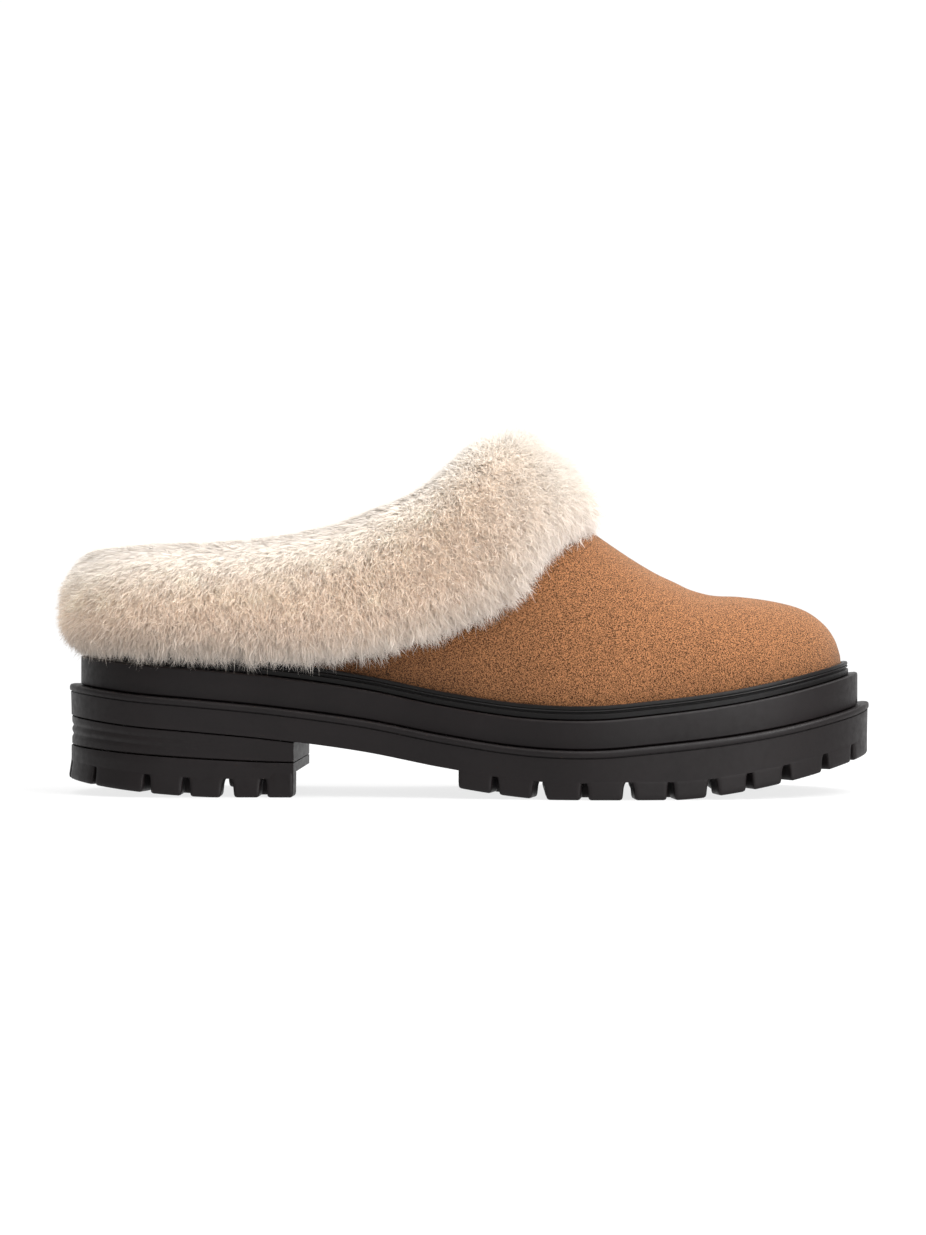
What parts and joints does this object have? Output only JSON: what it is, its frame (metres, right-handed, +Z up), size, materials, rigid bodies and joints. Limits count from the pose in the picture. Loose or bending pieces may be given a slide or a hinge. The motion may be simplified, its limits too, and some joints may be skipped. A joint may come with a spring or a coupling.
{
  "type": "clog slipper",
  "caption": "Backless clog slipper with a suede vamp, a deep shearling cuff all round the collar, a footbed, a welt and a lug sole with a low stacked heel.",
  "frame": {"origin": "on the floor under the middle of the shoe's box", "axes": "+X from heel to toe, +Y towards the inner side of the foot, +Z up"},
  "size_m": [0.2768, 0.0994, 0.1212],
  "materials": {
    "sole_rubber": "satin moulded",
    "welt_rubber": "satin moulded",
    "footbed": "short pile",
    "suede": "napped",
    "shearling": "deep pile"
  },
  "bodies": {
    "root": {"outsole": "sole_rubber", "heel_block": "sole_rubber", "heel_lift": "sole_rubber", "midsole": "sole_rubber", "welt": "welt_rubber", "insole": "footbed", "upper": "suede", "fur_cuff": "shearling"}
  },
  "joints": []
}
